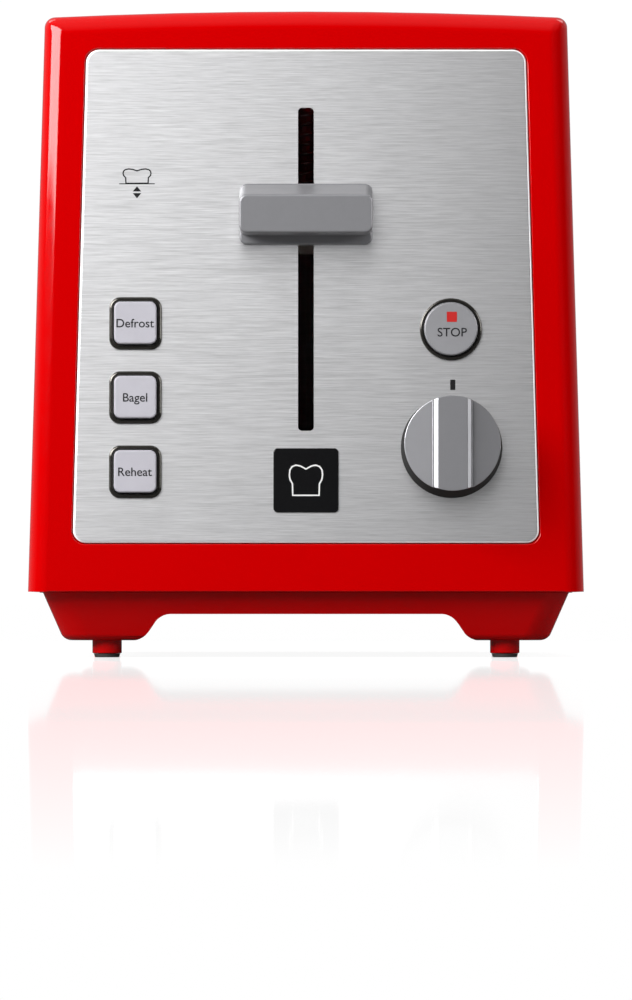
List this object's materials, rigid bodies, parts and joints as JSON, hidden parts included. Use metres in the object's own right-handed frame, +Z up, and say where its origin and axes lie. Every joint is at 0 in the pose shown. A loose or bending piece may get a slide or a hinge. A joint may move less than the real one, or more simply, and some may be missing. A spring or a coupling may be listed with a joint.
{
  "type": "pop-up toaster",
  "caption": "Pop-up bread toaster with long parallel slots, a lever, push buttons and a browning knob on a brushed steel plate at one narrow end, in a glossy red housing on short legs.",
  "frame": {"origin": "on the table, under the middle of the box that holds the whole toaster, from the knob at the front to the crumb tray's lip at the back", "axes": "+Z up; +Y along the bread slots, from the controls to the back; +X to the right of a person facing the controls"},
  "size_m": [0.169, 0.288, 0.1986],
  "materials": {
    "red_gloss": "deep glossy red plastic and enamel",
    "brushed_steel": "stainless steel, fine horizontal brushing",
    "black_gloss": "glossy black",
    "grey_plastic": "satin grey, slightly metallic",
    "pale_button": "satin pale grey",
    "dark_chrome": "dark chrome",
    "rubber": "dark rubber",
    "plain_steel": "plain sheet steel",
    "spring_steel": "steel wire",
    "mica": "mica board, buff",
    "heating_wire": "oxidised heating ribbon",
    "laminate": "green circuit board",
    "nylon": "natural nylon",
    "black_plastic": "black moulded plastic",
    "copper": "varnished copper winding"
  },
  "bodies": {
    "housing": {"badge": "black_gloss", "bagel_bezel": "dark_chrome", "base_screw_front_left": "plain_steel", "base_screw_front_right": "plain_steel", "base_screw_rear_left": "plain_steel", "base_screw_rear_right": "plain_steel", "base_tray": "red_gloss", "browning_pot": "black_plastic", "button_board": "laminate", "chamber_front_wall": "plain_steel", "chamber_rear_wall": "plain_steel", "contact_block": "black_plastic", "control_board": "laminate", "control_plate": "brushed_steel", "cord_gland": "black_plastic", "defrost_bezel": "dark_chrome", "electromagnet": "copper", "foot_pad_front_left": "rubber", "foot_pad_front_right": "rubber", "foot_pad_rear_left": "rubber", "foot_pad_rear_right": "rubber", "front_cover": "red_gloss", "guide_rod": "plain_steel", "heater_card_left_inner": "mica", "heater_card_left_outer": "mica", "heater_card_right_inner": "mica", "heater_card_right_outer": "mica", "heater_ribbon_left_inner": "heating_wire", "heater_ribbon_left_outer": "heating_wire", "heater_ribbon_right_inner": "heating_wire", "heater_ribbon_right_outer": "heating_wire", "mechanism_frame": "plain_steel", "rear_cover": "red_gloss", "reflector_left": "plain_steel", "reflector_right": "plain_steel", "reheat_bezel": "dark_chrome", "return_spring": "spring_steel", "slot_plate": "brushed_steel", "stop_bezel": "dark_chrome", "terminal_block": "nylon", "wrap_cover": "red_gloss"},
    "carriage": {"lever_knob": "grey_plastic", "carriage_bracket": "plain_steel", "carriage_bush": "nylon", "armature_plate": "plain_steel", "bread_rack_left": "plain_steel", "bread_rack_right": "plain_steel"},
    "browning_knob": {"browning_knob": "grey_plastic", "pot_shaft": "plain_steel"},
    "crumb_tray": {"crumb_tray": "plain_steel", "crumb_tray_handle": "red_gloss"},
    "stop_button": {"stop_button": "grey_plastic"},
    "defrost_button": {"defrost_button": "pale_button"},
    "bagel_button": {"bagel_button": "pale_button"},
    "reheat_button": {"reheat_button": "pale_button"},
    "bread_guide_left_outer": {"bread_guide_left_outer": "spring_steel"},
    "bread_guide_left_inner": {"bread_guide_left_inner": "spring_steel"},
    "bread_guide_right_inner": {"bread_guide_right_inner": "spring_steel"},
    "bread_guide_right_outer": {"bread_guide_right_outer": "spring_steel"}
  },
  "joints": [
    {"name": "carriage_slide", "type": "slide", "parent": "housing", "child": "carriage", "axis": [0, 0, 1], "range_m": [-0.057, 0.022], "stiffness_N_per_m": 80, "springref_m": 0.0175, "deforming": ["return_spring"]},
    {"name": "browning_knob_turn", "type": "hinge", "parent": "housing", "child": "browning_knob", "pos_m": [0.0442, -0.12271, 0.06374], "axis": [0, 0.9986, -0.0523], "range_deg": [-135, 135]},
    {"name": "crumb_tray_slide", "type": "slide", "parent": "housing", "child": "crumb_tray", "axis": [0, 1, 0], "range_m": [0, 0.185]},
    {"name": "defrost_press", "type": "slide", "parent": "housing", "child": "defrost_button", "axis": [0, 0.9986, -0.0523], "range_m": [0, 0.002], "stiffness_N_per_m": 600, "springref_m": -0.0005},
    {"name": "bagel_press", "type": "slide", "parent": "housing", "child": "bagel_button", "axis": [0, 0.9986, -0.0523], "range_m": [0, 0.002], "stiffness_N_per_m": 600, "springref_m": -0.0005},
    {"name": "reheat_press", "type": "slide", "parent": "housing", "child": "reheat_button", "axis": [0, 0.9986, -0.0523], "range_m": [0, 0.002], "stiffness_N_per_m": 600, "springref_m": -0.0005},
    {"name": "stop_press", "type": "slide", "parent": "housing", "child": "stop_button", "axis": [0, 0.9986, -0.0523], "range_m": [0, 0.002], "stiffness_N_per_m": 600, "springref_m": -0.0005},
    {"name": "bread_guide_left_outer_slide", "type": "slide", "parent": "housing", "child": "bread_guide_left_outer", "axis": [1, 0, 0], "range_m": [-0.0025, 0.0063]},
    {"name": "bread_guide_left_inner_slide", "type": "slide", "parent": "housing", "child": "bread_guide_left_inner", "axis": [-1, 0, 0], "range_m": [-0.0025, 0.0063]},
    {"name": "bread_guide_right_inner_slide", "type": "slide", "parent": "housing", "child": "bread_guide_right_inner", "axis": [1, 0, 0], "range_m": [-0.0025, 0.0063]},
    {"name": "bread_guide_right_outer_slide", "type": "slide", "parent": "housing", "child": "bread_guide_right_outer", "axis": [-1, 0, 0], "range_m": [-0.0025, 0.0063]}
  ],
  "couplings": [
    {"joint": "bread_guide_left_outer_slide", "follows": "carriage_slide", "ratio": -0.107},
    {"joint": "bread_guide_left_inner_slide", "follows": "carriage_slide", "ratio": -0.107},
    {"joint": "bread_guide_right_inner_slide", "follows": "carriage_slide", "ratio": -0.107},
    {"joint": "bread_guide_right_outer_slide", "follows": "carriage_slide", "ratio": -0.107}
  ]
}
